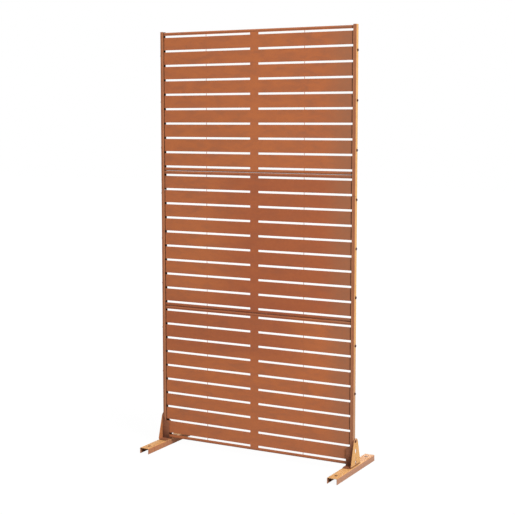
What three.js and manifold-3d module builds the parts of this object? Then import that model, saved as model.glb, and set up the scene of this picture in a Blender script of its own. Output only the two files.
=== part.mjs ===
// Free-standing slatted privacy screen: three folded steel panels between two channel posts,
// each post bolted to a tall gusset on a channel-shaped foot.
// Millimetres. X runs along the screen, Y through it (front is -Y), Z is up from the ground.
// Origin: on the ground, midway between the feet and midway along them.
import * as THREE from 'three';
import { mergeVertices } from 'three/addons/utils/BufferGeometryUtils.js';
import Module from 'manifold-3d';

// Whole screen
const screenHeight = 1930;
const screenWidth = 981;
const partGap = 0.3;

// Feet: inverted channels lying front to back
const footLength = 404;
const footWidth = 47;
const footHeight = 26.5;
const footWall = 2.5;
const footBend = 3.2;
const footLip = 3;
const anchorHoleRadius = 5;
const anchorHoleOffset = 162;

// Brackets: a sheet folded into a short base and a tall tapered gusset, on a pad plate
const bracketPlate = 2.5;
const bracketBend = 3;
const bracketBaseWidth = 39.5;
const padPlate = 1.9;
const spacerPlate = 1.9;
const spacerRadius = 8;
const gussetBaseHalf = 50.5;
const gussetSkirt = 3;
const gussetAboveBolt = 12.2;
const gussetTopRadius = 22;
const gussetSlotWidth = 14;
const gussetSlotCorner = 3;
const gussetUpperSlotHeight = 18;
const gussetLowerSlotHeight = 17;
const gussetUpperSlotRise = 64.5;
const gussetLowerSlotRise = 12.2;
const gussetMiddleHoleRise = 31;
const gussetMiddleHoleRadius = 4;
const gussetSmallHoleRises = [83, 92];
const gussetSmallHoleRadius = 2.5;

// Cleats: plates in front of and behind each post
const cleatPlate = 2.5;
const cleatWidth = 34;
const cleatAboveBolt = 7.4;
const cleatShoulderWidth = 21;
const cleatShoulderDrop = 33;
const cleatEdgeDrop = 40;
const rearCleatInset = 1.5;

// Posts: channels that open towards each other
const postSheet = 1.8;
const postDepth = 21;
const postFlange = 16;
const postBend = 2.4;
const postSetback = 7;
const postRise = 3.7;
const postJointAboveBolt = 15;
const postJointGap = 0.8;

// Panels: trays folded back all round
const panelNames = ['bottom', 'middle', 'top'];
const panelSheet = 1.5;
const panelFoldDepth = 12;
const panelBend = 4.5;
const panelSeam = 1.2;
const slotRows = 10;
const slotHeight = 9.2;
const slotEdge = 18.9;
const slotHidden = 2.5;
const tieWidth = 2;
const tieFromCentre = 246.7;
const centreBandHalf = 20.8;
const foldRelief = 3.3;

// Fixings
const boltsPerPanel = 3;
const shankRadius = 3;
const headRadius = 5;
const headHeight = 3.5;
const socketRadius = 2;
const socketDepth = 1.8;
const nutAcrossFlats = 10;
const nutHeight = 5;
const shankPastNut = 1.2;
const spliceStrip = 2;
const spliceWidth = 11;
const spliceEnd = 12;

// Positions that follow from the sizes above
const plateBottom = footHeight + partGap + padPlate + partGap;
const plateTop = plateBottom + bracketPlate;
const postBottom = plateTop + bracketBend + partGap;
const panelTop = screenHeight - postRise;
const panelPitch = (panelTop - postBottom + panelSeam) / panelNames.length;
const panelHeight = panelPitch - panelSeam;
const slotPitch = (panelHeight - 2 * slotEdge) / (slotRows - 1);
const boltPitch = panelPitch / boltsPerPanel;
const boltCount = panelNames.length * boltsPerPanel;
const postFace = screenWidth / 2;
const postFront = -postSetback - postDepth / 2;
const postRear = postFront + postDepth;
const panelSide = postFace - postSheet - partGap;
const panelFront = postFront + postSheet + partGap;
const panelRear = postRear - postSheet - partGap;
const bracketInner = postFace + partGap + spacerPlate + partGap;
const bracketOuter = bracketInner + bracketPlate;
const footOuter = bracketOuter + footLip;
const footInner = footOuter - footWidth;
const spliceLower = boltCount - boltsPerPanel - 1;
const holeRadius = shankRadius + partGap;

const wasm = await Module();
wasm.setup();

// A closed surface becomes a solid that can be cut and joined.
function solidOf(geometry) {
  geometry.deleteAttribute('normal');
  geometry.deleteAttribute('uv');
  const welded = mergeVertices(geometry, 1e-4);
  const corners = welded.index.array;
  const faces = [];
  for (let i = 0; i < corners.length; i += 3) {
    const [a, b, c] = [corners[i], corners[i + 1], corners[i + 2]];
    if (a !== b && b !== c && c !== a) faces.push(a, b, c);
  }
  return new wasm.Manifold(new wasm.Mesh({
    numProp: 3,
    vertProperties: new Float32Array(welded.attributes.position.array),
    triVerts: new Uint32Array(faces),
  }));
}

function geometryOf(solid) {
  const mesh = solid.getMesh();
  const geometry = new THREE.BufferGeometry();
  geometry.setAttribute('position', new THREE.BufferAttribute(Float32Array.from(mesh.vertProperties), 3));
  geometry.setIndex(new THREE.BufferAttribute(Uint32Array.from(mesh.triVerts), 1));
  geometry.computeVertexNormals();
  return geometry;
}

function blockSolid(x, y, z) {
  const box = new THREE.BoxGeometry(Math.abs(x[1] - x[0]), y[1] - y[0], z[1] - z[0]);
  box.translate((x[0] + x[1]) / 2, (y[0] + y[1]) / 2, (z[0] + z[1]) / 2);
  return solidOf(box);
}

// An outline drawn in Y and Z, drawn out along X.
function solidAlongX(outline, from, to) {
  const low = Math.min(from, to);
  const length = Math.abs(to - from);
  const body = new THREE.ExtrudeGeometry(outline, { depth: length, bevelEnabled: false });
  body.applyMatrix4(new THREE.Matrix4().set(0, 0, 1, low, 1, 0, 0, 0, 0, 1, 0, 0, 0, 0, 0, 1));
  return solidOf(body);
}

// An outline drawn in X and Z, drawn out along Y.
function solidAlongY(outline, from, to) {
  const body = new THREE.ExtrudeGeometry(outline, { depth: to - from, bevelEnabled: false });
  body.applyMatrix4(new THREE.Matrix4().set(1, 0, 0, 0, 0, 0, -1, to, 0, 1, 0, 0, 0, 0, 0, 1));
  return solidOf(body);
}

// An outline drawn in X and Y, drawn out along Z.
function solidAlongZ(outline, from, to) {
  const body = new THREE.ExtrudeGeometry(outline, { depth: to - from, bevelEnabled: false });
  body.translate(0, 0, from);
  return solidOf(body);
}

function roundAlongX(radius, x, y, z, sides = 20) {
  const rod = new THREE.CylinderGeometry(radius, radius, Math.abs(x[1] - x[0]), sides);
  rod.rotateZ(Math.PI / 2);
  rod.translate((x[0] + x[1]) / 2, y, z);
  return solidOf(rod);
}

function roundAlongZ(radius, x, y, z) {
  const rod = new THREE.CylinderGeometry(radius, radius, z[1] - z[0], 24);
  rod.rotateX(Math.PI / 2);
  rod.translate(x, y, (z[0] + z[1]) / 2);
  return solidOf(rod);
}

function polygon(points) {
  return new THREE.Shape(points.map(([u, v]) => new THREE.Vector2(u, v)));
}

// A rounded corner of a folded sheet, from one angle to another about (u, v).
function corner(u, v, radius, startAngle, endAngle) {
  const points = [];
  const steps = Math.ceil(Math.abs(endAngle - startAngle) / 0.32);
  for (let i = 0; i <= steps; i += 1) {
    const angle = startAngle + ((endAngle - startAngle) * i) / steps;
    points.push([u + radius * Math.cos(angle), v + radius * Math.sin(angle)]);
  }
  return points;
}

function boltHeight(index) {
  const panel = Math.floor(index / boltsPerPanel);
  const place = (index % boltsPerPanel) - (boltsPerPanel - 1) / 2;
  return postBottom + panel * panelPitch + panelHeight / 2 + place * boltPitch;
}

function jointHeight() {
  return boltHeight(spliceLower) + postJointAboveBolt;
}

// Feet ------------------------------------------------------------------------------------

function footSection(side) {
  const inner = footInner + footWall;
  const outer = footOuter - footWall;
  const innerBend = Math.max(footBend - footWall, 0.4);
  const quarter = Math.PI / 2;
  const points = [
    [footOuter, 0],
    ...corner(footOuter - footBend, footHeight - footBend, footBend, 0, quarter),
    ...corner(footInner + footBend, footHeight - footBend, footBend, quarter, 2 * quarter),
    [footInner, 0],
    [inner, 0],
    ...corner(inner + innerBend, footHeight - footWall - innerBend, innerBend, 2 * quarter, quarter),
    ...corner(outer - innerBend, footHeight - footWall - innerBend, innerBend, quarter, 0),
    [outer, 0],
  ];
  return polygon(points.map(([x, z]) => [side * x, z]));
}

function foot(side) {
  let body = solidAlongY(footSection(side), -footLength / 2, footLength / 2);
  const middle = side * (footInner + footWidth / 2);
  for (const end of [-1, 1]) {
    const hole = roundAlongZ(anchorHoleRadius, middle, end * anchorHoleOffset, [0, footHeight + 1]);
    body = body.subtract(hole);
  }
  return body;
}

// Brackets --------------------------------------------------------------------------------

// Seen from the side: a straight skirt, two sloping edges and a round top.
function gussetOutline() {
  const skirt = plateTop + gussetSkirt;
  const centre = boltHeight(0) + gussetAboveBolt - gussetTopRadius;
  const reach = Math.hypot(gussetBaseHalf, centre - skirt);
  const start = Math.atan2(skirt - centre, gussetBaseHalf) + Math.acos(gussetTopRadius / reach);
  return polygon([
    [-gussetBaseHalf, plateBottom],
    [gussetBaseHalf, plateBottom],
    [gussetBaseHalf, skirt],
    ...corner(0, centre, gussetTopRadius, start, Math.PI - start),
    [-gussetBaseHalf, skirt],
  ]);
}

// Seen from the front: the folded plate, base towards the middle of the screen.
function bracketSection(side) {
  const outerBend = bracketBend + bracketPlate;
  const top = boltHeight(0) + gussetAboveBolt + 1;
  const innerEdge = bracketOuter - bracketBaseWidth;
  const quarter = Math.PI / 2;
  const points = [
    [innerEdge, plateBottom],
    ...corner(bracketOuter - outerBend, plateBottom + outerBend, outerBend, -quarter, 0),
    [bracketOuter, top],
    [bracketInner, top],
    ...corner(bracketInner - bracketBend, plateTop + bracketBend, bracketBend, 0, -quarter),
    [innerEdge, plateTop],
  ];
  return polygon(points.map(([x, z]) => [side * x, z]));
}

function slotOutline(rise, height) {
  const radius = gussetSlotCorner;
  const u = gussetSlotWidth / 2 - radius;
  const v = height / 2 - radius;
  const middle = plateTop + rise;
  const quarter = Math.PI / 2;
  return polygon([
    ...corner(u, middle + v, radius, 0, quarter),
    ...corner(-u, middle + v, radius, quarter, 2 * quarter),
    ...corner(-u, middle - v, radius, 2 * quarter, 3 * quarter),
    ...corner(u, middle - v, radius, 3 * quarter, 4 * quarter),
  ]);
}

function bracket(side) {
  const folded = solidAlongY(bracketSection(side), -gussetBaseHalf - 1, gussetBaseHalf + 1);
  const innerEdge = bracketOuter - bracketBaseWidth;
  const shape = solidAlongX(gussetOutline(), side * (innerEdge - 1), side * (bracketOuter + 1));
  let body = folded.intersect(shape);
  const through = [side * (bracketInner - 0.5), side * (bracketOuter + 0.5)];
  body = body.subtract(solidAlongX(slotOutline(gussetUpperSlotRise, gussetUpperSlotHeight), ...through));
  body = body.subtract(solidAlongX(slotOutline(gussetLowerSlotRise, gussetLowerSlotHeight), ...through));
  body = body.subtract(roundAlongX(gussetMiddleHoleRadius, through, 0, plateTop + gussetMiddleHoleRise));
  for (const rise of gussetSmallHoleRises) {
    body = body.subtract(roundAlongX(gussetSmallHoleRadius, through, 0, plateTop + rise, 14));
  }
  return body.subtract(roundAlongX(holeRadius, through, -postSetback, boltHeight(0)));
}

// A plate between the foot and the bracket's base.
function pad(side) {
  const innerEdge = bracketOuter - bracketBaseWidth;
  const bendStart = bracketOuter - bracketBend - bracketPlate;
  const height = [footHeight + partGap, plateBottom - partGap];
  return blockSolid([side * innerEdge, side * bendStart], [-gussetBaseHalf, gussetBaseHalf], height);
}

// A round spacer on the lowest bolt, between the post and the gusset.
function spacer(side) {
  const faces = [side * (postFace + partGap), side * (bracketInner - partGap)];
  const bore = [side * (postFace - 1), side * (bracketInner + 1)];
  const body = roundAlongX(spacerRadius, faces, -postSetback, boltHeight(0), 28);
  return body.subtract(roundAlongX(holeRadius, bore, -postSetback, boltHeight(0)));
}

// Cleats: outer edge upright beside the gusset, top cut down towards the panel.
function cleat(side, end) {
  const bottom = plateTop + partGap;
  const top = boltHeight(0) + cleatAboveBolt;
  const outer = end < 0 ? bracketInner - partGap : postFace - rearCleatInset;
  const clear = bracketBend + partGap;
  const points = [
    [outer - clear, bottom],
    [outer, bottom + clear],
    [outer, top],
    [postFace - cleatShoulderWidth, top - cleatShoulderDrop],
    [postFace - cleatWidth, top - cleatEdgeDrop],
    [postFace - cleatWidth, bottom],
  ];
  const outline = polygon(points.map(([x, z]) => [side * x, z]));
  const front = end < 0 ? postFront - partGap - cleatPlate : postRear + partGap;
  return solidAlongY(outline, front, front + cleatPlate);
}

// Posts -----------------------------------------------------------------------------------

function postSection(side) {
  const innerBend = Math.max(postBend - postSheet, 0.4);
  const edge = postFace - postFlange;
  const inner = postFace - postSheet - innerBend;
  const quarter = Math.PI / 2;
  const points = [
    [edge, postFront],
    ...corner(postFace - postBend, postFront + postBend, postBend, -quarter, 0),
    ...corner(postFace - postBend, postRear - postBend, postBend, 0, quarter),
    [edge, postRear],
    [edge, postRear - postSheet],
    ...corner(inner, postRear - postSheet - innerBend, innerBend, quarter, 0),
    ...corner(inner, postFront + postSheet + innerBend, innerBend, 0, -quarter),
    [edge, postFront + postSheet],
  ];
  return polygon(points.map(([x, y]) => [side * x, y]));
}

function post(side, from, to) {
  let body = solidAlongZ(postSection(side), from, to);
  const through = [side * (postFace - postSheet - 1), side * (postFace + 1)];
  for (let index = 0; index < boltCount; index += 1) {
    const height = boltHeight(index);
    if (height > from && height < to) {
      body = body.subtract(roundAlongX(holeRadius, through, -postSetback, height));
    }
  }
  return body;
}

// A strip inside each post that carries the joint between its two lengths.
function splice(side) {
  const outer = panelSide - panelSheet - partGap;
  const low = boltHeight(spliceLower);
  const high = boltHeight(spliceLower + 1);
  const width = [-postSetback - spliceWidth / 2, -postSetback + spliceWidth / 2];
  const height = [low - spliceEnd, high + spliceEnd];
  let body = blockSolid([side * (outer - spliceStrip), side * outer], width, height);
  const through = [side * (outer - spliceStrip - 1), side * (outer + 1)];
  for (const middle of [low, high]) {
    body = body.subtract(roundAlongX(holeRadius, through, -postSetback, middle));
  }
  return body;
}

// Panels ----------------------------------------------------------------------------------

// Seen from the end: the face and the folds along the top and bottom edges.
function traySection(low, high) {
  const back = panelFront + panelFoldDepth;
  const middle = panelFront + panelBend;
  const innerBend = panelBend - panelSheet;
  const quarter = Math.PI / 2;
  return polygon([
    [back, low],
    ...corner(middle, low + panelBend, panelBend, -quarter, -2 * quarter),
    ...corner(middle, high - panelBend, panelBend, 2 * quarter, quarter),
    [back, high],
    [back, high - panelSheet],
    ...corner(middle, high - panelBend, innerBend, quarter, 2 * quarter),
    ...corner(middle, low + panelBend, innerBend, 2 * quarter, 3 * quarter),
    [back, low + panelSheet],
  ]);
}

function sideOutline(low, high) {
  const middle = panelFront + panelBend;
  const quarter = Math.PI / 2;
  return polygon([
    [panelRear, low],
    ...corner(middle, low + panelBend, panelBend, -quarter, -2 * quarter),
    ...corner(middle, high - panelBend, panelBend, 2 * quarter, quarter),
    [panelRear, high],
  ]);
}

function cutSlots(body, low) {
  const slotEnd = postFace - postFlange + slotHidden;
  const spans = [
    [centreBandHalf, tieFromCentre - tieWidth / 2],
    [tieFromCentre + tieWidth / 2, slotEnd],
  ];
  const depth = [panelFront - 1, panelFront + panelSheet + 0.4];
  let cut = body;
  for (let row = 0; row < slotRows; row += 1) {
    const middle = low + slotEdge + row * slotPitch;
    const height = [middle - slotHeight / 2, middle + slotHeight / 2];
    for (const [near, far] of spans) {
      cut = cut.subtract(blockSolid([near, far], depth, height));
      cut = cut.subtract(blockSolid([-far, -near], depth, height));
    }
  }
  return cut;
}

function panel(index) {
  const low = postBottom + index * panelPitch;
  const high = low + panelHeight;
  let body = solidAlongX(traySection(low, high), -panelSide, panelSide);
  const reliefDepth = [panelFront + panelSheet + 0.5, panelRear];
  const ends = [[low - 1, low + panelBend + 0.5], [high - panelBend - 0.5, high + 1]];
  for (const side of [-1, 1]) {
    const inside = side * (panelSide - panelSheet);
    for (const end of ends) {
      const relief = [side * (panelSide - panelSheet - foldRelief), side * (panelSide + 1)];
      body = body.subtract(blockSolid(relief, reliefDepth, end));
    }
    body = body.add(solidAlongX(sideOutline(low, high), inside, side * panelSide));
    for (let bolt = 0; bolt < boltsPerPanel; bolt += 1) {
      const height = boltHeight(index * boltsPerPanel + bolt);
      const through = [side * (panelSide - panelSheet - 1), side * (panelSide + 1)];
      body = body.subtract(roundAlongX(holeRadius, through, -postSetback, height));
    }
  }
  return cutSlots(body, low);
}

// Fixings ---------------------------------------------------------------------------------

function isSpliceBolt(index) {
  return index === spliceLower || index === spliceLower + 1;
}

function nutSeat(index) {
  const stacked = isSpliceBolt(index) ? spliceStrip + partGap : 0;
  return panelSide - panelSheet - partGap - stacked;
}

// A button-head bolt; the head sits against the post, or against the gusset for the lowest one.
function bolt(side, index) {
  const seat = (index === 0 ? bracketOuter : postFace) + partGap;
  const tip = nutSeat(index) - nutHeight - shankPastNut;
  const rim = headHeight * 0.2;
  const profile = [
    [0, tip],
    [shankRadius - 0.6, tip],
    [shankRadius, tip + 0.6],
    [shankRadius, seat],
    [headRadius, seat],
  ];
  const steps = 4;
  for (let i = 0; i < steps; i += 1) {
    const angle = ((Math.PI / 2) * i) / steps;
    profile.push([headRadius * Math.cos(angle), seat + rim + (headHeight - rim) * Math.sin(angle)]);
  }
  profile.push([0, seat + headHeight]);
  const turned = new THREE.LatheGeometry(profile.map(([r, x]) => new THREE.Vector2(r, x)), 18);
  turned.rotateZ((-side * Math.PI) / 2);
  turned.translate(0, -postSetback, boltHeight(index));
  const socket = [side * (seat + headHeight - socketDepth), side * (seat + headHeight + 1)];
  return solidOf(turned).subtract(roundAlongX(socketRadius, socket, -postSetback, boltHeight(index), 6));
}

function nut(side, index) {
  const outer = nutSeat(index);
  const height = boltHeight(index);
  const hexagon = [];
  for (let i = 0; i < 6; i += 1) {
    const angle = (Math.PI / 3) * i + Math.PI / 2;
    const reach = nutAcrossFlats / Math.sqrt(3);
    hexagon.push([-postSetback + reach * Math.cos(angle), height + reach * Math.sin(angle)]);
  }
  const body = solidAlongX(polygon(hexagon), side * (outer - nutHeight), side * outer);
  const bore = [side * (outer - nutHeight - 1), side * (outer + 1)];
  return body.subtract(roundAlongX(holeRadius, bore, -postSetback, height));
}

// Finishes --------------------------------------------------------------------------------

const panelFinish = new THREE.MeshStandardMaterial({ color: '#ad6845', roughness: 0.72, metalness: 0 });
const postFinish = new THREE.MeshStandardMaterial({ color: '#a87052', roughness: 0.7, metalness: 0 });
const footFinish = new THREE.MeshStandardMaterial({ color: '#bd8458', roughness: 0.7, metalness: 0 });
const fixingFinish = new THREE.MeshStandardMaterial({ color: '#6d4535', roughness: 0.6, metalness: 0.3 });

const screen = new THREE.Group();
screen.name = 'privacy_screen';

function place(name, solid, finish) {
  const mesh = new THREE.Mesh(geometryOf(solid), finish);
  mesh.name = name;
  screen.add(mesh);
}

panelNames.forEach((name, index) => place(`panel_${name}`, panel(index), panelFinish));

for (const [name, side] of [['left', -1], ['right', 1]]) {
  place(`foot_${name}`, foot(side), footFinish);
  place(`pad_${name}`, pad(side), footFinish);
  place(`bracket_${name}`, bracket(side), footFinish);
  place(`spacer_${name}`, spacer(side), fixingFinish);
  place(`cleat_${name}_front`, cleat(side, -1), postFinish);
  place(`cleat_${name}_rear`, cleat(side, 1), postFinish);
  place(`post_${name}_lower`, post(side, postBottom, jointHeight() - postJointGap / 2), postFinish);
  place(`post_${name}_upper`, post(side, jointHeight() + postJointGap / 2, screenHeight), postFinish);
  place(`splice_${name}`, splice(side), fixingFinish);
  for (let index = 0; index < boltCount; index += 1) {
    place(`bolt_${name}_${index + 1}`, bolt(side, index), fixingFinish);
    place(`nut_${name}_${index + 1}`, nut(side, index), fixingFinish);
  }
}

export default screen;
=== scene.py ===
import math
import bmesh
import bpy
import numpy as np
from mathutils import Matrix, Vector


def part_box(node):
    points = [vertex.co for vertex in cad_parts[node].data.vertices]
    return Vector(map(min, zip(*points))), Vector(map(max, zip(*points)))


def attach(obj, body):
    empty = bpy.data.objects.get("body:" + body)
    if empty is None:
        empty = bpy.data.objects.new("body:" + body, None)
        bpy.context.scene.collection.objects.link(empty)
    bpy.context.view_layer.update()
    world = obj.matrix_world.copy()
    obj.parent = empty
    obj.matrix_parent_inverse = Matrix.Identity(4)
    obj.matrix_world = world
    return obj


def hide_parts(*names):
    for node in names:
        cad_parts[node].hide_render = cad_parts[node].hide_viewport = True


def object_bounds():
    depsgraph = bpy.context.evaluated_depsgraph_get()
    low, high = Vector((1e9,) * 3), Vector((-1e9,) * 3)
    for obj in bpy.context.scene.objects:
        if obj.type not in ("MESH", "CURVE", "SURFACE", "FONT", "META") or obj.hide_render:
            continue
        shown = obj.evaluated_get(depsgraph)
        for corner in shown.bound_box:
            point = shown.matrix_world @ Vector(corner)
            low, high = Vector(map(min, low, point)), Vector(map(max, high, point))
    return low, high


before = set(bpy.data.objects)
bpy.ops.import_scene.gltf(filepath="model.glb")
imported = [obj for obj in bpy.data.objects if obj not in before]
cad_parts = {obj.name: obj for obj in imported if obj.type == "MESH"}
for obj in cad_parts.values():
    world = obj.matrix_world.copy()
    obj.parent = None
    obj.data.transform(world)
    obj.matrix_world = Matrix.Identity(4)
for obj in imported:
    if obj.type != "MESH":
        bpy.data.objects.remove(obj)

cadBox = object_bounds()
mm = 0.001
sides = {"left": -1, "right": 1}
boltNumbers = range(1, 10)


# helpers that turn arrays of points into pieces

meshSizes = dict(weld=2e-5, sliver=1e-6, bevelSegments=2, bevelAngle=35.0)  # the first two in metres
holeSizes = dict(ring=1.5, ringShare=0.5, slack=0.01)


def boxOf(name):
    # the low and the high corner of a solid's box, in millimetres
    return (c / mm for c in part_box(name))


def fromMiddle(low, high):
    # the nearest and the furthest distance of a box from the middle plane X = 0
    return sorted((abs(low[0]), abs(high[0])))


def steps(*stops, size=20.0):
    # marks from one stop to the next, none further apart than size; every stop is kept
    parts = [np.linspace(a, b, max(1, math.ceil(abs(b - a) / size)) + 1)[:-1]
             for a, b in zip(stops, stops[1:])]
    return np.append(np.concatenate(parts), stops[-1])


def arc(radius, startDegrees, endDegrees, count=7):
    # points on a circle: radius times (cos, sin) of evenly spread angles
    t = np.radians(np.linspace(startDegrees, endDegrees, count))
    return np.stack([radius * np.cos(t), radius * np.sin(t)], axis=-1)


def surface(x, y, z):
    # a grid of points; each of x, y and z is a grid, or a row or column that is repeated over it
    return np.stack(np.broadcast_arrays(x, y, z), axis=-1)


def gridQuads(nu, nv, keep=None):
    # the four corner numbers of each cell in an nu by nv grid of points
    i, j = np.meshgrid(np.arange(nu - 1), np.arange(nv - 1), indexing="ij")
    first = i * nv + j
    quads = np.stack([first, first + nv, first + nv + 1, first + 1], axis=-1)
    return quads[keep] if keep is not None else quads.reshape(-1, 4)


def holePatch(grid, iRange, jRange, centre, axes, half, power):
    # fills the window left in a grid with rings that shrink from its border to a rounded hole;
    # the hole's edge in direction d is d / ((|x|/a)^n + (|y|/b)^n)^(1/n): n=2 is round, n=6 nearly square
    i0, i1 = iRange
    j0, j1 = jRange
    border = np.concatenate([
        grid[i0:i1, j0], grid[i1, j0:j1], grid[i1:i0:-1, j1], grid[i0, j1:j0:-1]])
    local = (border - centre) @ axes.T
    length = np.linalg.norm(local, axis=1)[:, None]
    way = local / length
    reach = 1 / np.sum((np.abs(way) / half) ** power, axis=1) ** (1 / power)
    hole = way * reach[:, None]
    inward = np.minimum(holeSizes["ring"] / length, holeSizes["ringShare"])
    rings = [local, hole + (local - hole) * inward, hole]
    points = np.stack([centre + ring @ axes for ring in rings])
    points = np.concatenate([points, points[:, :1]], axis=1)
    return points, gridQuads(*points.shape[:2])[:, ::-1]


def pierced(points, holes):
    # a grid with a window cut for each hole and a patch in it, as one list of points and quads
    keep = np.ones((points.shape[0] - 1, points.shape[1] - 1), dtype=bool)
    patches = []
    for iMarks, jMarks, centre, axes, half, power in holes:
        iRange, jRange = (iMarks[0], iMarks[-1]), (jMarks[0], jMarks[-1])
        keep[slice(*iRange), slice(*jRange)] = False
        patches.append(holePatch(points, iRange, jRange, np.array(centre), np.array(axes), half, power))
    parts = [(points, gridQuads(*points.shape[:2], keep))] + patches
    starts = np.cumsum([0] + [len(p.reshape(-1, 3)) for p, _ in parts])
    return (np.concatenate([p.reshape(-1, 3) for p, _ in parts]),
            np.concatenate([quads + start for (_, quads), start in zip(parts, starts)]))


def addObject(name, data):
    obj = bpy.data.objects.new(name, data)
    bpy.context.scene.collection.objects.link(obj)
    return obj


def makePiece(name, points, quads, flip=False, sheet=0.0, bevel=0.0):
    # millimetres in, one object at the origin out; sheet gives it a wall behind its outer face
    if flip:
        quads = quads[:, ::-1]
    mesh = bpy.data.meshes.new(name)
    mesh.from_pydata((points.reshape(-1, 3) * mm).tolist(), [], quads.tolist())
    work = bmesh.new()
    work.from_mesh(mesh)
    bmesh.ops.remove_doubles(work, verts=work.verts, dist=meshSizes["weld"])
    bmesh.ops.dissolve_degenerate(work, edges=work.edges, dist=meshSizes["sliver"])
    bmesh.ops.delete(work, geom=[v for v in work.verts if not v.link_faces], context="VERTS")
    work.to_mesh(mesh)
    work.free()
    mesh.polygons.foreach_set("use_smooth", np.ones(len(mesh.polygons), dtype=bool))
    obj = addObject(name, mesh)
    if sheet:
        wall = obj.modifiers.new("wall", "SOLIDIFY")
        wall.thickness = sheet * mm
        wall.offset = -1
        wall.use_even_offset = True
    if bevel:
        edge = obj.modifiers.new("edge", "BEVEL")
        edge.width = bevel * mm
        edge.segments = meshSizes["bevelSegments"]
        edge.limit_method = "ANGLE"
        edge.angle_limit = math.radians(meshSizes["bevelAngle"])
        edge.harden_normals = True
    return obj


def dress(obj, material, slotName, *nodes):
    obj.data.materials.append(material)
    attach(obj, "root")
    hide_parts(*nodes)


# helpers for shader nodes

def newGroup(name, inputs, outputs):
    # an input is a label, the kind of its socket and, where the coats leave it alone, its value
    group = bpy.data.node_groups.new(name, "ShaderNodeTree")
    for label, kind, *value in inputs:
        socket = group.interface.new_socket(name=label, in_out="INPUT", socket_type="NodeSocket" + kind)
        if value:
            socket.default_value = value[0]
    for label, kind in outputs:
        group.interface.new_socket(name=label, in_out="OUTPUT", socket_type="NodeSocket" + kind)
    return group, group.nodes.new("NodeGroupInput").outputs, group.nodes.new("NodeGroupOutput").inputs


def addNode(tree, kind, settings=None, **inputs):
    # one node: settings are its own switches, inputs are values or the sockets that feed it;
    # i0, i1 and so on stand for inputs by number
    node = tree.nodes.new(kind)
    for key, value in (settings or {}).items():
        setattr(node, key, value)
    for key, value in inputs.items():
        byNumber = key[0] == "i" and key[1:].isdigit()
        socket = node.inputs[int(key[1:]) if byNumber else key]
        if isinstance(value, bpy.types.NodeSocket):
            tree.links.new(value, socket)
        else:
            socket.default_value = value
    return node


def noise(tree, vector, **inputs):
    return addNode(tree, "ShaderNodeTexNoise", Vector=vector, **inputs).outputs["Fac"]


def mixColour(tree, factor, first, second):
    node = addNode(tree, "ShaderNodeMix", {"data_type": "RGBA"}, i0=factor, i6=first, i7=second)
    return node.outputs[2]


def maths(tree, operation, first, second=0.0, clamp=False):
    settings = {"operation": operation, "use_clamp": clamp}
    return addNode(tree, "ShaderNodeMath", settings, i0=first, i1=second).outputs[0]


def remap(tree, value, low, high, toLow=0.0, toHigh=1.0):
    node = addNode(tree, "ShaderNodeMapRange", {"clamp": True}, Value=value)
    for key, number in (("From Min", low), ("From Max", high), ("To Min", toLow), ("To Max", toHigh)):
        node.inputs[key].default_value = number
    return node.outputs["Result"]


# the coat's colour: broad clouds, hand-sized patches and fine flecks over a base colour
mottleSizes = dict(flecks=260.0, stretch=(0.5, 1.0, 1.3), palePatch=(0.48, 0.72), deepPatch=(0.5, 0.28),
                   paleCloud=(0.4, 0.7, 0.0, 0.5), deepFleck=(0.5, 0.78))


def mottleGroup(s):
    group, given, result = newGroup("coatMottle", [
        ("Vector", "Vector"), ("Base", "Color"), ("Pale", "Color"), ("Deep", "Color"), ("Patches", "Float"),
        ("Flecks", "Float", s["flecks"]), ("Stretch", "Vector", s["stretch"]), ("Strength", "Float")],
        [("Color", "Color")])
    cloud = noise(group, given["Vector"], Scale=2.3, Detail=3.0, Roughness=0.55)
    drawn = addNode(group, "ShaderNodeVectorMath", {"operation": "MULTIPLY"}, i0=given["Vector"],
                    i1=given["Stretch"]).outputs[0]
    patch = noise(group, drawn, Scale=given["Patches"], Detail=5.0, Roughness=0.62, Distortion=0.4)
    fleck = noise(group, given["Vector"], Scale=given["Flecks"], Detail=2.0, Roughness=0.5)
    colour = given["Base"]
    for pattern, marks, tone in ((patch, "palePatch", "Pale"), (patch, "deepPatch", "Deep"),
                                 (cloud, "paleCloud", "Pale"), (fleck, "deepFleck", "Deep")):
        mask = maths(group, "MULTIPLY", remap(group, pattern, *s[marks]), given["Strength"])
        colour = mixColour(group, mask, colour, given[tone])
    group.links.new(colour, result["Color"])
    return group


# the coat's skin: fine orange peel with scattered larger bumps, as a height, and a slow change for the gloss
grainSizes = dict(peel=900.0, bumps=160.0, bumpShare=0.35)


def grainGroup(s):
    group, given, result = newGroup("powderGrain", [
        ("Vector", "Vector"), ("Peel", "Float", s["peel"]), ("Bumps", "Float", s["bumps"])],
        [("Height", "Float"), ("Spread", "Float")])
    peel = noise(group, given["Vector"], Scale=given["Peel"], Detail=2.0)
    bumps = addNode(group, "ShaderNodeTexVoronoi", {"feature": "SMOOTH_F1"}, Vector=given["Vector"],
                    Scale=given["Bumps"]).outputs["Distance"]
    height = maths(group, "ADD", peel, maths(group, "MULTIPLY", bumps, s["bumpShare"]))
    group.links.new(height, result["Height"])
    group.links.new(noise(group, given["Vector"], Scale=22.0, Detail=4.0), result["Spread"])
    return group


# dust and splashes near the ground: a mask that fades out at Top, made uneven by noise
dustSizes = dict(uneven=(0.3, 0.65, 0.55, 1.2))


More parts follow.
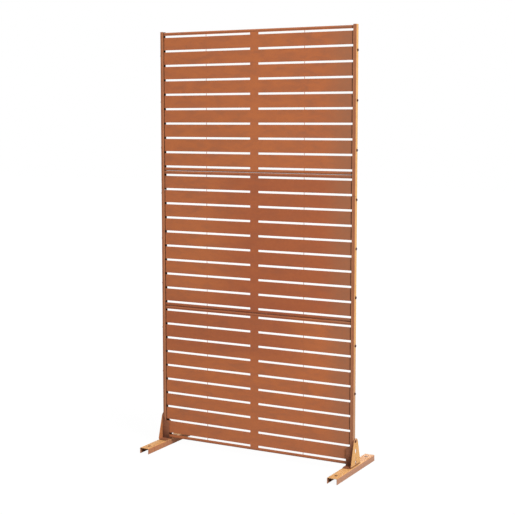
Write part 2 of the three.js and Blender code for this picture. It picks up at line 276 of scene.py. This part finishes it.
def dustGroup(s):
    group, given, result = newGroup("groundDust", [
        ("Vector", "Vector"), ("Color", "Color"), ("Dust", "Color"), ("Top", "Float"), ("Amount", "Float")],
        [("Color", "Color"), ("Mask", "Float")])
    height = addNode(group, "ShaderNodeSeparateXYZ", Vector=given["Vector"]).outputs["Z"]
    grit = noise(group, given["Vector"], Scale=60.0, Detail=4.0)
    fade = maths(group, "SUBTRACT", 1.0, maths(group, "DIVIDE", height, given["Top"]), clamp=True)
    broken = maths(group, "MULTIPLY", fade, remap(group, grit, *s["uneven"]), clamp=True)
    mask = maths(group, "MULTIPLY", broken, given["Amount"], clamp=True)
    group.links.new(mixColour(group, mask, given["Color"], given["Dust"]), result["Color"])
    group.links.new(mask, result["Mask"])
    return group


# a second colour inside a box of soft borders: per axis the distance from a middle mark, which can repeat,
# goes from Start (no layer) to Full (all of it); noise makes it uneven, and an axis left alone has no border
layerSizes = dict(uneven=(0.3, 0.7, 0.8, 1.15), middle=0.0, repeat=100.0, start=-1.0, full=-0.5)


def layerGroup(s):
    inputs = [("Vector", "Vector"), ("Color", "Color"), ("Layer", "Color"), ("Amount", "Float")]
    for axis in "XYZ":
        inputs += [(label + " " + axis, "Float", s[label.lower()])
                   for label in ("Middle", "Repeat", "Start", "Full")]
    group, given, result = newGroup("coatLayer", inputs, [("Color", "Color")])
    parts = addNode(group, "ShaderNodeSeparateXYZ", Vector=given["Vector"])
    wear = noise(group, given["Vector"], Scale=75.0, Detail=3.0)
    mask = maths(group, "MULTIPLY", given["Amount"], remap(group, wear, *s["uneven"]))
    for axis in "XYZ":
        half = maths(group, "MULTIPLY", given["Repeat " + axis], 0.5)
        offset = maths(group, "SUBTRACT", parts.outputs[axis], given["Middle " + axis])
        wrapped = addNode(group, "ShaderNodeMath", {"operation": "WRAP"}, i0=offset, i1=half,
                          i2=maths(group, "MULTIPLY", half, -1.0)).outputs[0]
        ramp = addNode(group, "ShaderNodeMapRange", {"interpolation_type": "SMOOTHSTEP"},
                       Value=maths(group, "ABSOLUTE", wrapped))
        group.links.new(given["Start " + axis], ramp.inputs["From Min"])
        group.links.new(given["Full " + axis], ramp.inputs["From Max"])
        mask = maths(group, "MULTIPLY", mask, ramp.outputs["Result"], clamp=True)
    group.links.new(mixColour(group, mask, given["Color"], given["Layer"]), result["Color"])
    return group


groups = {"mottle": mottleGroup(mottleSizes), "grain": grainGroup(grainSizes), "dust": dustGroup(dustSizes),
          "layer": layerGroup(layerSizes)}
print("shader groups ready")


# coats: what all of them share, then each one's colours and layers
coatSizes = dict(roughMarks=(0.3, 0.7), dustRough=0.25, bumpHeight=0.00012)


def linear(red, green, blue):
    # a screen colour from 0 to 255 as the linear colour that shaders use
    c = np.array([red, green, blue]) / 255
    value = np.where(c <= 0.04045, c / 12.92, ((c + 0.055) / 1.055) ** 2.4)
    return (*value.tolist(), 1.0)


def coatMaterial(name, look, s):
    material = bpy.data.materials.new(name)
    material.use_nodes = True
    tree = material.node_tree
    shader = tree.nodes["Principled BSDF"]
    where = addNode(tree, "ShaderNodeTexCoord").outputs["Object"]
    colour = addNode(tree, "ShaderNodeGroup", {"node_tree": groups["mottle"]}, Vector=where,
                     Base=look["base"], Pale=look["pale"], Deep=look["deep"], Patches=look["patches"],
                     Strength=look["mottle"]).outputs["Color"]
    for layer in look.get("layers", []):
        node = addNode(tree, "ShaderNodeGroup", {"node_tree": groups["layer"]}, Vector=where, Color=colour,
                       Layer=layer["colour"], Amount=layer["amount"])
        for axis in "XYZ":
            for label, value in zip(("Start ", "Full ", "Middle ", "Repeat "), layer.get(axis, ())):
                node.inputs[label + axis].default_value = value
        colour = node.outputs["Color"]
    dust = addNode(tree, "ShaderNodeGroup", {"node_tree": groups["dust"]}, Vector=where, Dust=look["dust"],
                   Top=look["dustTop"], Amount=look["dustAmount"], Color=colour)
    grain = addNode(tree, "ShaderNodeGroup", {"node_tree": groups["grain"]}, Vector=where)
    rough = remap(tree, grain.outputs["Spread"], *s["roughMarks"], *look["rough"])
    dusty = maths(tree, "MULTIPLY", dust.outputs["Mask"], s["dustRough"])
    rough = maths(tree, "ADD", rough, dusty, clamp=True)
    bump = addNode(tree, "ShaderNodeBump", Height=grain.outputs["Height"], Strength=look["bump"],
                   Distance=s["bumpHeight"])
    tree.links.new(dust.outputs["Color"], shader.inputs["Base Color"])
    tree.links.new(rough, shader.inputs["Roughness"])
    tree.links.new(bump.outputs["Normal"], shader.inputs["Normal"])
    shader.inputs["Specular IOR Level"].default_value = look["gloss"]
    return material


# a layer says per axis, in metres: start, full and, where it isn't the same on both sides of 0, its middle
# mark and how far apart it repeats
looks = {
    "panelCoat": dict(
        base=linear(177, 103, 65), pale=linear(190, 111, 64), deep=linear(152, 96, 69), patches=26.0,
        mottle=0.7, dust=linear(178, 114, 80), dustTop=0.3, dustAmount=0.3, rough=(0.62, 0.78), bump=0.35,
        gloss=0.12,
        layers=[
            # redder on the middle panel and low on the left, greyer at the right end
            dict(X=(0.45, 0.15, 0.14), Z=(0.322, 0.308, 0.9806), amount=0.5, colour=linear(154, 82, 55)),
            dict(X=(0.60, 0.35, -0.25), Z=(0.20, 0.06, 0.58), amount=0.45, colour=linear(150, 82, 57)),
            dict(X=(0.18, 0.045, 0.5), amount=0.7, colour=linear(150, 101, 75)),
            # painted shade: a dark line on the panels beside the posts, where the post flanges shade them
            dict(X=(0.4680, 0.4712), amount=0.85, colour=linear(72, 41, 29)),
            # painted shade at the seams and the top edge; a painted highlight on the rolled top edge under
            # each seam, with painted shade under it
            dict(Z=(0.0060, 0.0040, 0.0360, 0.6309), amount=0.3, colour=linear(96, 58, 42)),
            dict(Z=(0.0070, 0.0045, 1.9300), amount=0.4, colour=linear(100, 60, 43)),
            dict(Z=(0.0030, 0.0012, 0.0297, 0.6309), amount=0.22, colour=linear(190, 132, 98)),
            dict(Z=(0.0032, 0.0012, 0.0250, 0.6309), amount=0.5, colour=linear(104, 62, 44)),
            # painted shade: nearly black inside the posts
            dict(X=(0.4735, 0.4752), amount=0.95, colour=linear(40, 25, 20))]),
    "postCoat": dict(
        base=linear(164, 101, 67), pale=linear(180, 117, 80), deep=linear(138, 86, 63), patches=26.0,
        mottle=0.5, dust=linear(148, 108, 84), dustTop=0.6, dustAmount=0.5, rough=(0.58, 0.74), bump=0.35,
        gloss=0.15,
        layers=[
            # pale lip at the panels, duller front on the right
            dict(X=(0.4805, 0.4770), amount=0.65, colour=linear(194, 128, 88)),
            dict(X=(0.0500, 0.0300, 0.484), Y=(0.0016, 0.0008, -0.0175), amount=0.4,
                 colour=linear(142, 92, 67)),
            # painted light: pale outer face, as lit from the side, duller low down; painted shade: a dark
            # ring round each bolt head
            dict(X=(0.4896, 0.4903), amount=0.9, colour=linear(202, 156, 97)),
            dict(X=(0.4896, 0.4903), Z=(0.75, 0.15), amount=0.75, colour=linear(170, 129, 104)),
            dict(X=(0.4896, 0.4903), Y=(0.0080, 0.0060, -0.004), Z=(0.0066, 0.0046, 0.13935, 0.2103),
                 amount=0.85, colour=linear(104, 62, 45)),
            # painted shade: nearly black inside the channel
            dict(X=(0.4896, 0.4890), Y=(0.0100, 0.0092, -0.007), amount=0.95, colour=linear(40, 25, 20))]),
    # painted shade: the cleats' coat is a darker copy of the post coat, for the shade round the brackets
    "cleatCoat": dict(
        base=linear(138, 88, 63), pale=linear(156, 104, 76), deep=linear(98, 60, 44), patches=40.0,
        mottle=0.4, dust=linear(100, 66, 50), dustTop=0.06, dustAmount=0.3, rough=(0.62, 0.78), bump=0.4,
        gloss=0.15,
        layers=[
            # painted shade: darker outwards towards the gusset, downwards towards the base and on the rear
            # cleats behind the panels
            dict(X=(0.466, 0.490), amount=0.34, colour=linear(84, 50, 38)),
            dict(Z=(0.085, 0.034), amount=0.62, colour=linear(58, 36, 28)),
            dict(Y=(0.0080, 0.0050, 0.005), amount=0.6, colour=linear(62, 38, 29))]),
    # painted light: the stand's coat is paler and yellower than the posts' coat, as on faces lit from the
    # side and from above
    "gussetCoatPaintedLightAndShade": dict(
        base=linear(202, 152, 94), pale=linear(212, 166, 110), deep=linear(182, 122, 74), patches=26.0,
        mottle=0.28, dust=linear(166, 122, 98), dustTop=0.05, dustAmount=0.2, rough=(0.54, 0.68), bump=0.4,
        gloss=0.25,
        layers=[
            # greyer tip; painted shade: a dark ring round the lowest bolt head and a dark line over the bend
            dict(Z=(0.128, 0.144), amount=0.5, colour=linear(168, 126, 104)),
            dict(Y=(0.0085, 0.0065, -0.002), Z=(0.0066, 0.0046, 0.13935), amount=0.8,
                 colour=linear(112, 68, 50)),
            dict(Z=(0.0372, 0.0338), amount=0.85, colour=linear(132, 84, 60)),
            # redder inner side, without that painted light; painted shade: a darker base, shaded by the
            # gusset; a pale whitish patch on the right
            dict(X=(0.4949, 0.4936), amount=0.85, colour=linear(160, 94, 58)),
            dict(X=(0.4922, 0.4890), amount=0.62, colour=linear(112, 70, 50)),
            dict(X=(0.0140, 0.0090, 0.470), Y=(0.0180, 0.0110, 0.044), Z=(0.036, 0.034), amount=0.8,
                 colour=linear(216, 194, 182))]),
    # painted light: paler and yellower than the posts' coat, as on tops lit from above
    "footCoat": dict(
        base=linear(208, 156, 96), pale=linear(216, 170, 114), deep=linear(186, 128, 80), patches=26.0,
        mottle=0.2, dust=linear(164, 122, 98), dustTop=0.04, dustAmount=0.25, rough=(0.56, 0.7), bump=0.4,
        gloss=0.25,
        layers=[
            # painted shadow beside the cleats; a pale whitish patch; duller at the back of the right foot
            dict(Y=(0.060, 0.052), X=(0.4600, 0.4570), amount=0.6, colour=linear(132, 86, 62)),
            dict(X=(0.0140, 0.0090, 0.464), Y=(0.0240, 0.0140, 0.064), amount=0.85,
                 colour=linear(216, 194, 182)),
            dict(X=(0.050, 0.030, 0.475), Y=(0.085, 0.045, 0.155), amount=0.4, colour=linear(182, 130, 104)),
            # redder sides, without the painted light of the top; painted shade round the anchor holes and on
            # their walls; greyer outer side
            dict(Z=(0.0262, 0.0236), amount=0.92, colour=linear(158, 102, 71)),
            dict(X=(0.0072, 0.0056, 0.4752, 0.9504), Y=(0.0080, 0.0062, 0.162, 0.324), amount=1.0,
                 colour=linear(98, 60, 43)),
            dict(X=(0.4960, 0.4980), Z=(0.0262, 0.0236), amount=0.9, colour=linear(166, 123, 100))]),
    # painted shade: the pads' coat is much darker than the stand's, for the shade in the gap under the
    # brackets
    "padCoat": dict(
        base=linear(120, 74, 52), pale=linear(140, 92, 66), deep=linear(90, 54, 40), patches=40.0, mottle=0.4,
        dust=linear(100, 66, 50), dustTop=0.04, dustAmount=0.3, rough=(0.6, 0.75), bump=0.4, gloss=0.15),
    "fixingCoat": dict(
        base=linear(88, 50, 34), pale=linear(108, 64, 45), deep=linear(60, 34, 24), patches=90.0, mottle=0.4,
        dust=linear(80, 54, 42), dustTop=0.03, dustAmount=0.3, rough=(0.55, 0.7), bump=0.3, gloss=0.06),
}
coats = {name: coatMaterial(name, look, coatSizes) for name, look in looks.items()}
print("coats ready:", ", ".join(coats))


# panels: one folded sheet each, cut by rows of slots
panelSizes = dict(sheet=1.5, fold=12.0, bend=4.5, sideBend=2.0, sideBendPoints=5, sideFold=14.5, relief=4.8,
                  rows=10, slotHeight=9.2, slotEdge=18.9, bandHalf=20.8, tieAt=246.7, tieWidth=2.0,
                  slotEnd=477.0, cell=17.0, bevel=0.35,
                  ripple=0.22, rippleWaves=(71, 90, 53, 173, 240), rippleSwing=0.4,
                  rippleSide=(440, 120), rippleEnd=(8, 25))  # where the waviness ends and over what width


def foldedPanel(name, s):
    # the face is a grid in X and Z; past each fold line the sheet turns back round a quarter circle and runs
    # on in Y, so X and Z stop growing there and the depth grows instead
    low, high = boxOf(name)
    half, front, bottom, top = high[0], low[1], low[2], high[2]
    pitch = (top - bottom - 2 * s["slotEdge"]) / (s["rows"] - 1)
    middles = bottom + s["slotEdge"] + pitch * np.arange(s["rows"])
    edges = np.sort(np.concatenate([middles - s["slotHeight"] / 2, middles + s["slotHeight"] / 2]))
    flat = steps(bottom + s["bend"], *edges, top - s["bend"], size=s["cell"])
    turn = arc(s["bend"], 180, 90)
    upZ, upD = top - s["bend"] + turn[1:, 1], s["bend"] + turn[1:, 0]
    z = np.concatenate([[bottom], (bottom + top) - upZ[::-1], flat, upZ, [top]])
    zDepth = np.concatenate([[s["fold"]], upD[::-1], np.zeros(len(flat)), upD, [s["fold"]]])
    tie = (s["tieAt"] - s["tieWidth"] / 2, s["tieAt"] + s["tieWidth"] / 2)
    right = steps(0.0, s["bandHalf"], *tie, s["slotEnd"], half - s["relief"], half - s["sideBend"],
                  size=s["cell"])
    bendX = arc(s["sideBend"], 180, 90, s["sideBendPoints"])
    xHalf = np.concatenate([right, half - s["sideBend"] + bendX[1:, 1], [half]])
    dHalf = np.concatenate([np.zeros(len(right)), s["sideBend"] + bendX[1:, 0], [s["sideFold"]]])
    x = np.concatenate([-xHalf[:0:-1], xHalf])
    xDepth = np.concatenate([dHalf[:0:-1], dHalf])
    gridX, gridZ = np.meshgrid(x, z, indexing="ij")
    depth = xDepth[:, None] + zDepth[None, :]
    # slight waviness of the sheet, faded out at its edges:
    # sin(x/a + swing sin(z/b)) sin(z/c + bottom) + sin(x/d + z/e)
    a, b, c, d, e = s["rippleWaves"]
    swung = np.sin(gridX / a + s["rippleSwing"] * np.sin(gridZ / b))
    wave = swung * np.sin(gridZ / c + bottom) + np.sin(gridX / d + gridZ / e)
    (sideAt, sideRun), (endAt, endRun) = s["rippleSide"], s["rippleEnd"]
    fade = np.clip((sideAt - np.abs(gridX)) / sideRun, 0, 1) \
        * np.clip((gridZ - bottom - endAt) / endRun, 0, 1) * np.clip((top - endAt - gridZ) / endRun, 0, 1)
    depth = depth + (1 + wave / 2) * s["ripple"] * fade
    midX = (x[1:] + x[:-1])[:, None] / 2
    midZ = (z[1:] + z[:-1])[None, :] / 2
    acrossSlot = (np.abs(midX) > s["bandHalf"]) & (np.abs(midX) < s["slotEnd"]) \
        & (np.abs(np.abs(midX) - s["tieAt"]) > s["tieWidth"] / 2)
    inRow = np.any(np.abs(midZ[:, :, None] - middles) < s["slotHeight"] / 2, axis=2)
    nearSide = np.abs(midX) > half - s["relief"]
    inFold = (zDepth[1:] + zDepth[:-1])[None, :] > 0
    keep = ~(acrossSlot & inRow) & ~(nearSide & inFold)
    return makePiece(name.replace("panel", "sheet"), surface(gridX, front + depth, gridZ),
                     gridQuads(len(x), len(z), keep), sheet=s["sheet"], bevel=s["bevel"])


for level in ("bottom", "middle", "top"):
    node = "panel_" + level
    dress(foldedPanel(node, panelSizes), coats["panelCoat"], "panel_coat", node)
print("panels folded and slotted")


# posts: a channel profile carried straight up
postSizes = dict(sheet=1.8, bend=2.4, cell=60.0, flangeCell=6.0, bevel=0.35)


def channelPost(name, side, s):
    # the outer line of the channel: front flange, rounded corner, web, rounded corner, rear flange
    low, high = boxOf(name)
    lip, face = fromMiddle(low, high)
    b = s["bend"]
    corner = arc(b, -90, 0)
    flange = steps(lip, face - b, size=s["flangeCell"])[:-1]
    profile = np.concatenate([
        np.stack([flange, np.full(len(flange), low[1])], axis=-1),
        corner + (face - b, low[1] + b),
        corner[::-1] * (1, -1) + (face - b, high[1] - b),
        [[lip, high[1]]]])
    up = steps(low[2], high[2], size=s["cell"])
    return makePiece(name.replace("post", "channel"), surface(side * profile[:, :1], profile[:, 1:], up),
                     gridQuads(len(profile), len(up)), flip=side < 0, sheet=s["sheet"], bevel=s["bevel"])


for label, side in sides.items():
    for part in ("lower", "upper"):
        node = f"post_{label}_{part}"
        dress(channelPost(node, side, postSizes), coats["postCoat"], "post_coat", node)
print("posts rolled")


# feet: a channel with its open side down and two anchor holes
footSizes = dict(wall=2.5, bend=3.2, hole=5.0, holeAt=162.0, window=9.0, windowPoints=7, cell=24.0,
                 topCell=8.0, bevel=0.45)


def channelFoot(name, side, s):
    # the outer line of the upside-down channel carried along Y; each hole is a ring patch in the flat top
    low, high = boxOf(name)
    near, far = fromMiddle(low, high)
    middle = (near + far) / 2
    top = high[2]
    b, w, h = s["bend"], s["window"], s["holeAt"]
    corner = arc(b, 0, 90)
    across = np.concatenate([steps(far - b, middle + w, size=s["topCell"])[1:],
                             np.linspace(middle + w, middle - w, s["windowPoints"])[1:],
                             steps(middle - w, near + b, size=s["topCell"])[1:-1]])
    profile = np.concatenate([
        [[far, 0], [far, top / 2]],
        corner + (far - b, top - b),
        np.stack([across, np.full(len(across), top)], axis=-1),
        (corner * (-1, 1))[::-1] + (near + b, top - b),
        [[near, top / 2], [near, 0]]])
    ends = [np.linspace(sign * h - w, sign * h + w, s["windowPoints"]) for sign in (-1, 1)]
    along = np.concatenate([steps(low[1], -h - w, size=s["cell"])[:-1], ends[0],
                            steps(-h + w, h - w, size=s["cell"])[1:-1], ends[1],
                            steps(h + w, high[1], size=s["cell"])[1:]])
    nearWindow = w + holeSizes["slack"]
    rows = np.flatnonzero(np.isclose(profile[:, 1], top) & (np.abs(profile[:, 0] - middle) < nearWindow))
    holes = [(rows, np.flatnonzero(np.abs(along - sign * h) < nearWindow), [side * middle, sign * h, top],
              [[1, 0, 0], [0, 1, 0]], (s["hole"], s["hole"]), 2) for sign in (-1, 1)]
    points, quads = pierced(surface(side * profile[:, :1], along, profile[:, 1:]), holes)
    return makePiece(name.replace("foot", "runner"), points, quads, flip=side > 0, sheet=s["wall"],
                     bevel=s["bevel"])


for label, side in sides.items():
    node = "foot_" + label
    dress(channelFoot(node, side, footSizes), coats["footCoat"], "stand_coat", node)
print("feet bent and drilled")


# brackets: base, bend and tapered gusset from one sheet; each opening is its rise over the floor, its half
# width and half height, the power of its outline and half the height of its window
bracketSizes = dict(plate=2.5, bend=5.5, skirt=3.0, topRadius=22.0, halfWindow=9.0, windowShare=0.6, gap=0.2,
                    wallCell=4.5, baseCell=9.0, tipPoints=12, windowPoints=7, edgePoints=6, bevel=0.5,
                    openings=[(12.2, (7.0, 8.5), 6, 11.0), (31.0, (4.0, 4.0), 2, 6.0),
                              (64.5, (7.0, 9.0), 6, 11.5), (83.0, (2.5, 2.5), 2, 3.8),
                              (92.0, (2.5, 2.5), 2, 3.8)])


def foldedBracket(name, side, s):
    # rows run across in Y and follow the plate from the base's inner edge, round the bend, up to the tip;
    # each row's half width is the base's, then a straight taper, then a circle at the tip
    low, high = boxOf(name)
    inner, outer = fromMiddle(low, high)
    half, base, tip = high[1], low[2], high[2]
    floor = base + s["plate"]
    b, r = s["bend"], s["topRadius"]
    skirt = floor + s["skirt"]
    centre = tip - r
    slope = math.atan2(skirt - centre, half) + math.acos(r / math.hypot(half, centre - skirt))
    tangentZ = centre + r * math.sin(slope)
    tangentY = r * math.cos(slope)
    windows = [(max(floor + rise - reach, skirt + s["gap"]), floor + rise + reach)
               for rise, _, _, reach in s["openings"]]
    upright = steps(skirt, *np.ravel(windows), tangentZ, size=s["wallCell"])
    crown = arc(r, math.degrees(slope), 90, s["tipPoints"])
    bend = arc(b, -90, 0)
    baseX = steps(inner, outer - b, size=s["baseCell"])
    pathX = np.concatenate([baseX[:-1], outer - b + bend[:, 0],
                            np.full(len(upright) + len(crown) - 1, outer)])
    pathZ = np.concatenate([np.full(len(baseX) - 1, base), base + b + bend[:, 1],
                            upright, centre + crown[1:, 1]])
    taper = half + (tangentY - half) * (pathZ - skirt) / (tangentZ - skirt)
    rounded = np.sqrt(np.maximum(r ** 2 - (pathZ - centre) ** 2, 0))
    width = np.where(pathZ <= skirt + 1e-6, half, np.where(pathZ <= tangentZ, taper, rounded))
    window = np.minimum(s["halfWindow"], s["windowShare"] * width)
    inside = np.linspace(-1, 1, s["windowPoints"])
    outside = np.linspace(0, 1, s["edgePoints"])[1:]
    across = np.concatenate([
        -(window[:, None] + (width - window)[:, None] * outside[None, ::-1]),
        window[:, None] * inside,
        window[:, None] + (width - window)[:, None] * outside], axis=1).T
    columns = (len(outside), len(outside) + len(inside) - 1)
    slack = holeSizes["slack"]
    holes = []
    for (rise, size, power, _), (start, end) in zip(s["openings"], windows):
        rows = np.flatnonzero(np.isclose(pathX, outer) & (pathZ > start - slack) & (pathZ < end + slack))
        holes.append((columns, rows, [side * outer, 0.0, floor + rise], [[0, 1, 0], [0, 0, 1]], size, power))
    points, quads = pierced(surface(side * pathX, across, pathZ), holes)
    return makePiece(name.replace("bracket", "gusset"), points, quads, flip=side < 0, sheet=s["plate"],
                     bevel=s["bevel"])


for label, side in sides.items():
    node = "bracket_" + label
    dress(foldedBracket(node, side, bracketSizes), coats["gussetCoatPaintedLightAndShade"], "stand_coat", node)
print("brackets folded and cut")


# pads: a plate between each foot and its bracket
padSizes = dict(cell=12.0, bevel=0.4)


def squarePad(name, s):
    # the flat top as a grid in X and Y; the wall behind it gives the plate its thickness
    low, high = boxOf(name)
    x = steps(low[0], high[0], size=s["cell"])
    y = steps(low[1], high[1], size=s["cell"])
    return makePiece(name.replace("pad", "slab"), surface(x[:, None], y, high[2]), gridQuads(len(x), len(y)),
                     sheet=high[2] - low[2], bevel=s["bevel"])


for label in sides:
    node = "pad_" + label
    dress(squarePad(node, padSizes), coats["padCoat"], "stand_coat", node)
print("pads cut")


# cleats: flat plates with a top cut down towards the panel
cleatSizes = dict(shoulder=21.0, shoulderDrop=33.0, edgeDrop=40.0, foot=3.3, cell=7.0, rows=13, bevel=0.4)


def cutCleat(name, side, s):
    # a grid from the inner to the outer edge; each column runs from the lower line to the upper line
    low, high = boxOf(name)
    inner, outer = fromMiddle(low, high)
    shoulder, foot = outer - s["shoulder"], outer - s["foot"]
    x = steps(inner, shoulder, foot, outer, size=s["cell"])
    drops = np.array([s["edgeDrop"], s["shoulderDrop"], 0])
    upper = np.interp(x, [inner, shoulder, outer], high[2] - drops)
    lower = np.interp(x, [inner, foot, outer], low[2] + np.array([0, 0, s["foot"]]))
    z = lower[:, None] + (upper - lower)[:, None] * np.linspace(0, 1, s["rows"])
    return makePiece(name.replace("cleat", "tab"), surface(side * x[:, None], low[1], z), gridQuads(*z.shape),
                     flip=side < 0, sheet=high[1] - low[1], bevel=s["bevel"])


for label, side in sides.items():
    for part in ("front", "rear"):
        node = f"cleat_{label}_{part}"
        dress(cutCleat(node, side, cleatSizes), coats["cleatCoat"], "post_coat", node)
print("cleats cut")


# bolts: a turned head with a six-sided socket, on a plain shank
boltSizes = dict(shank=3.0, chamfer=0.5, head=5.6, headHeight=3.5, proud=1.1, rim=0.2, edge=0.15,
                 domeEnd=68, domePoints=7, domePowers=(0.9, 0.4), socket=2.0, socketDepth=1.8, socketCone=0.5,
                 socketLip=0.12, turns=48, sharpAngle=32.0)


def turnedBolt(name, side, s):
    # a profile (distance along the axis, radius) turned once round; inside the socket the radius follows a
    # hexagon, cos(30) / cos(a - 30) with a the angle past the last corner
    low, high = boxOf(name)
    tip, reach = fromMiddle(low, high)
    seat = reach - s["headHeight"]
    # a little prouder than the solid, never past the whole box
    outer = min(reach + s["proud"], cadBox[1][0] / mm)
    height = outer - seat
    rim = s["rim"] * height
    domeAngle = np.radians(np.linspace(0, s["domeEnd"], s["domePoints"]))
    risePower, radiusPower = s["domePowers"]
    dome = np.stack([seat + rim + (height - rim) * np.sin(domeAngle) ** risePower,
                     s["head"] * np.cos(domeAngle) ** radiusPower], axis=-1)
    crest = outer - s["socketLip"]
    deep = outer - s["socketDepth"]
    profile = np.concatenate([
        [[tip, 0], [tip, s["shank"] - s["chamfer"]], [tip + s["chamfer"], s["shank"]], [seat, s["shank"]],
         [seat, s["head"] - s["edge"]], [seat + s["edge"], s["head"]]],
        dome,
        [[crest, s["socket"] + s["socketLip"]], [crest - s["edge"], s["socket"]], [deep, s["socket"]],
         [deep - s["socketCone"], 0]]])
    sixSided = np.zeros(len(profile))
    sixSided[-4:-1] = 1  # the three rings of the socket
    turn = np.linspace(0, 2 * np.pi, s["turns"] + 1)
    hexagon = math.cos(math.pi / 6) / np.cos(np.mod(turn, math.pi / 3) - math.pi / 6)
    radius = profile[:, 1:] * (1 + sixSided[:, None] * (hexagon - 1))
    middleY, middleZ = (low[1] + high[1]) / 2, (low[2] + high[2]) / 2
    points = surface(side * profile[:, :1], middleY + radius * np.cos(turn), middleZ + radius * np.sin(turn))
    piece = makePiece(name.replace("bolt", "screw"), points, gridQuads(*radius.shape), flip=side > 0)
    piece.data.set_sharp_from_angle(angle=math.radians(s["sharpAngle"]))
    return piece


for label, side in sides.items():
    for number in boltNumbers:
        node = f"bolt_{label}_{number}"
        dress(turnedBolt(node, side, boltSizes), coats["fixingCoat"], "fixing_steel", node)
print("bolts turned")


# nuts, spacers and splice strips stay as they come, with the fixings' coat
for label in sides:
    nuts = [f"nut_{label}_{number}" for number in boltNumbers]
    for name in nuts + ["splice_" + label, "spacer_" + label]:
        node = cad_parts[name]
        node.data.materials.clear()
        node.data.materials.append(coats["fixingCoat"])
print("nuts, spacers and strips coated")


# studio: pale floor, white surroundings, soft lamps that all aim at the screen's middle
studio = dict(floorSize=40.0, floorColour=(0.5, 0.5, 0.5, 1), floorGlow=(0.93, 1.0), glow=1.04,
              glowReach=(0.9, 3.2), fill=0.12, aim=(0.0, 0.0, 0.95),
              lamps=[("keyRight", (6.4, -2.7, 5.0), 3.6, 840.0), ("overhead", (0.2, 0.5, 5.6), 3.0, 170.0),
                     ("front", (-1.8, -6.2, 1.9), 3.0, 84.0), ("rear", (-2.0, 6.2, 1.2), 3.0, 150.0)])


def makeFloor(s):
    # near the object a little of the lit floor shows, so its shadow is kept; further out it is plain white
    half = s["floorSize"] / 2
    mesh = bpy.data.meshes.new("floor")
    corners = [(-half, -half, 0), (half, -half, 0), (half, half, 0), (-half, half, 0)]
    mesh.from_pydata(corners, [], [(0, 1, 2, 3)])
    floor = addObject("floor", mesh)
    material = bpy.data.materials.new("paleFloor")
    material.use_nodes = True
    tree = material.node_tree
    tree.nodes.remove(tree.nodes["Principled BSDF"])
    matt = addNode(tree, "ShaderNodeBsdfDiffuse", Color=s["floorColour"])
    glow = addNode(tree, "ShaderNodeEmission", Strength=s["glow"])
    path = addNode(tree, "ShaderNodeLightPath")
    where = addNode(tree, "ShaderNodeTexCoord").outputs["Object"]
    reach = addNode(tree, "ShaderNodeVectorMath", {"operation": "LENGTH"}, i0=where).outputs["Value"]
    share = remap(tree, reach, *s["glowReach"], *s["floorGlow"])
    seen = maths(tree, "MULTIPLY", path.outputs["Is Camera Ray"], share)
    both = addNode(tree, "ShaderNodeMixShader", i0=seen, i1=matt.outputs[0], i2=glow.outputs[0])
    tree.links.new(both.outputs[0], tree.nodes["Material Output"].inputs["Surface"])
    mesh.materials.append(material)


def makeSurroundings(s):
    # plain white where the camera or a reflection sees it, a weak fill light everywhere else
    world = bpy.data.worlds.new("studioWhite")
    bpy.context.scene.world = world
    world.use_nodes = True
    tree = world.node_tree
    path = addNode(tree, "ShaderNodeLightPath")
    seen = maths(tree, "MAXIMUM", path.outputs["Is Camera Ray"], path.outputs["Is Glossy Ray"])
    background = tree.nodes["Background"]
    background.inputs["Color"].default_value = (1, 1, 1, 1)
    tree.links.new(remap(tree, seen, 0.0, 1.0, s["fill"], 1.0), background.inputs["Strength"])


def makeLamps(s):
    for name, place, size, power in s["lamps"]:
        data = bpy.data.lights.new(name, "AREA")
        data.size = size
        data.energy = power
        lamp = addObject(name, data)
        lamp.location = place
        lamp.visible_camera = False
        aim = np.array(s["aim"]) - np.array(place)
        tilt = math.acos(-aim[2] / np.linalg.norm(aim))
        lamp.rotation_euler = (tilt, 0, math.atan2(aim[1], aim[0]) - math.pi / 2)


makeFloor(studio)
makeSurroundings(studio)
makeLamps(studio)

cameraSizes = dict(place=(2.4757, -4.5449, 1.5264), turn=28.497, down=5.649, lens=81.225, sensor=36,
                   shiftY=-0.0427)
cameraData = bpy.data.cameras.new("camera")
cameraData.sensor_width = cameraSizes["sensor"]
cameraData.lens = cameraSizes["lens"]
cameraData.shift_y = cameraSizes["shiftY"]
camera = addObject("camera", cameraData)
camera.location = cameraSizes["place"]
camera.rotation_euler = (math.radians(90 - cameraSizes["down"]), 0, math.radians(cameraSizes["turn"]))
bpy.context.scene.camera = camera
bpy.context.scene.view_settings.view_transform = "Standard"
print("studio and camera ready")
